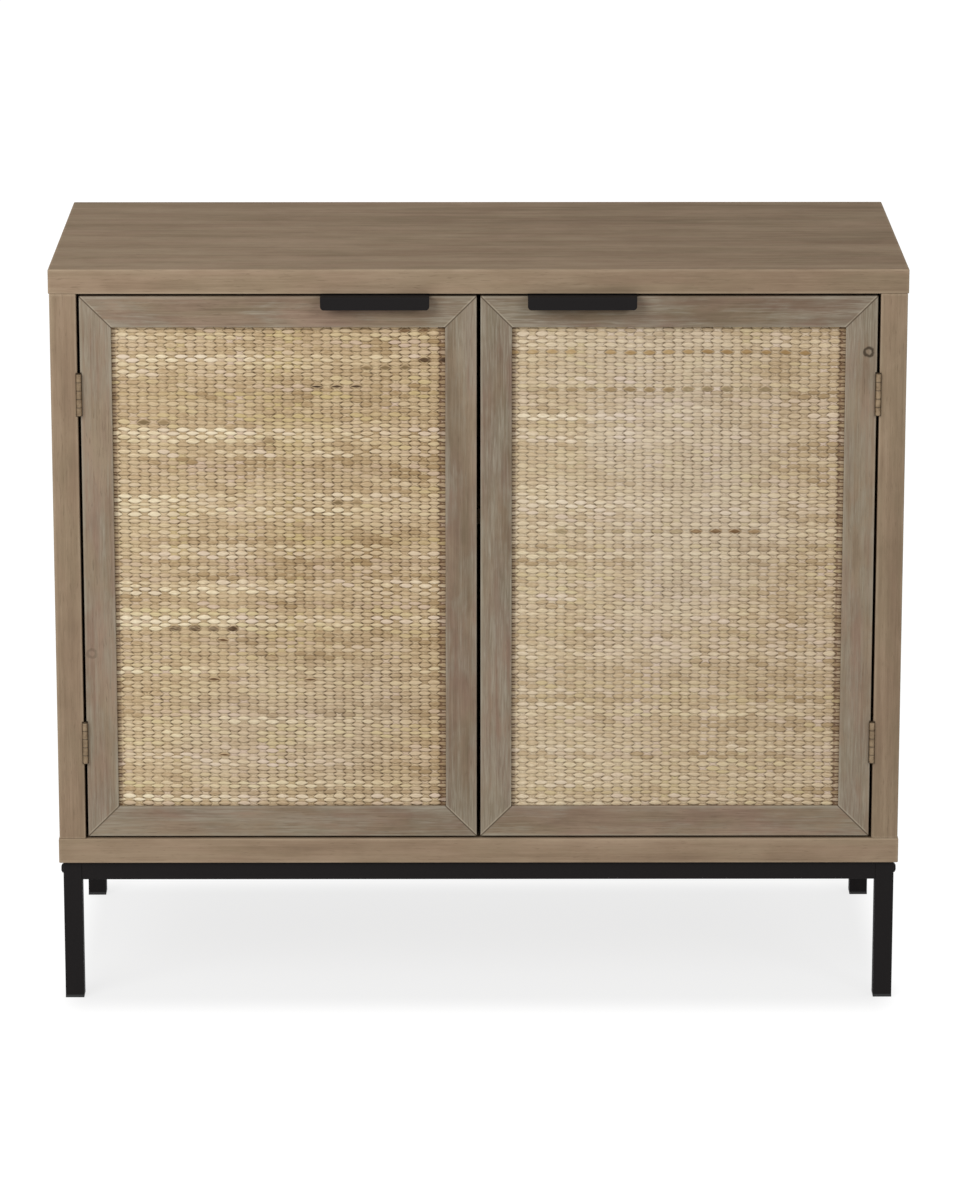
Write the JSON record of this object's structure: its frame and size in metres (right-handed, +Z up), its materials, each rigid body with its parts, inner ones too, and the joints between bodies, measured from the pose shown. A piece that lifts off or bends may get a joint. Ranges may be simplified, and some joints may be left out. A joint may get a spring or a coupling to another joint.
{
  "type": "record cabinet",
  "caption": "Free-standing low cabinet with woven cane doors in mitred wood frames, bent metal pulls, inner shelf and a black square-tube base.",
  "frame": {"origin": "on the floor, at the centre of the whole footprint with the pulls included", "axes": "+X to the right along the width, +Y from the doors towards the back, +Z up"},
  "size_m": [0.9, 0.412, 0.8],
  "materials": {
    "carcass_wood": "grey-brown stained wood, satin lacquer",
    "door_wood": "brushed solid wood, greyed wash",
    "back_board": "veneered board, matt",
    "dowel_wood": "bare beech",
    "cane": "natural woven rattan, matt",
    "black_steel": "fine matt black powder coat",
    "hinge_metal": "dull antique plating",
    "screw_steel": "zinc plated",
    "black_plastic": "moulded, matt black",
    "magnet": "sintered ferrite, dark grey"
  },
  "bodies": {
    "cabinet": {"top_panel": "carcass_wood", "bottom_panel": "carcass_wood", "left_side_panel": "carcass_wood", "right_side_panel": "carcass_wood", "carcass_dowels": "dowel_wood", "back_panel": "back_board", "back_panel_screws": "screw_steel", "shelf": "carcass_wood", "shelf_pins": "screw_steel", "left_catch_body": "black_plastic", "right_catch_body": "black_plastic", "catch_magnets": "magnet", "catch_screws": "screw_steel", "left_upper_frame_leaf": "hinge_metal", "left_lower_frame_leaf": "hinge_metal", "right_upper_frame_leaf": "hinge_metal", "right_lower_frame_leaf": "hinge_metal", "hinge_pins": "hinge_metal", "frame_leaf_screws": "hinge_metal", "left_front_leg": "black_steel", "left_rear_leg": "black_steel", "right_front_leg": "black_steel", "right_rear_leg": "black_steel", "left_side_rail": "black_steel", "right_side_rail": "black_steel", "front_rail": "black_steel", "rear_rail": "black_steel", "rail_inserts": "screw_steel", "rail_bolts": "black_steel", "leg_glides": "black_plastic", "base_screws": "screw_steel"},
    "left_door": {"left_door_hinge_stile": "door_wood", "left_door_meeting_stile": "door_wood", "left_door_top_rail": "door_wood", "left_door_bottom_rail": "door_wood", "left_door_mitre_keys": "dowel_wood", "left_door_cane": "cane", "left_door_beads": "door_wood", "left_door_pull": "black_steel", "left_door_pull_screws": "black_steel", "left_door_strike": "screw_steel", "left_door_strike_screws": "screw_steel", "left_door_leaf_screws": "hinge_metal", "left_upper_door_leaf": "hinge_metal", "left_lower_door_leaf": "hinge_metal"},
    "right_door": {"right_door_hinge_stile": "door_wood", "right_door_meeting_stile": "door_wood", "right_door_top_rail": "door_wood", "right_door_bottom_rail": "door_wood", "right_door_mitre_keys": "dowel_wood", "right_door_cane": "cane", "right_door_beads": "door_wood", "right_door_pull": "black_steel", "right_door_pull_screws": "black_steel", "right_door_strike": "screw_steel", "right_door_strike_screws": "screw_steel", "right_door_leaf_screws": "hinge_metal", "right_upper_door_leaf": "hinge_metal", "right_lower_door_leaf": "hinge_metal"}
  },
  "joints": [
    {"name": "left_door_hinge", "type": "hinge", "parent": "cabinet", "child": "left_door", "pos_m": [-0.4195, -0.1945, 0.477], "axis": [0, 0, -1], "range_deg": [0, 180]},
    {"name": "right_door_hinge", "type": "hinge", "parent": "cabinet", "child": "right_door", "pos_m": [0.4195, -0.1945, 0.477], "axis": [0, 0, 1], "range_deg": [0, 180]}
  ]
}
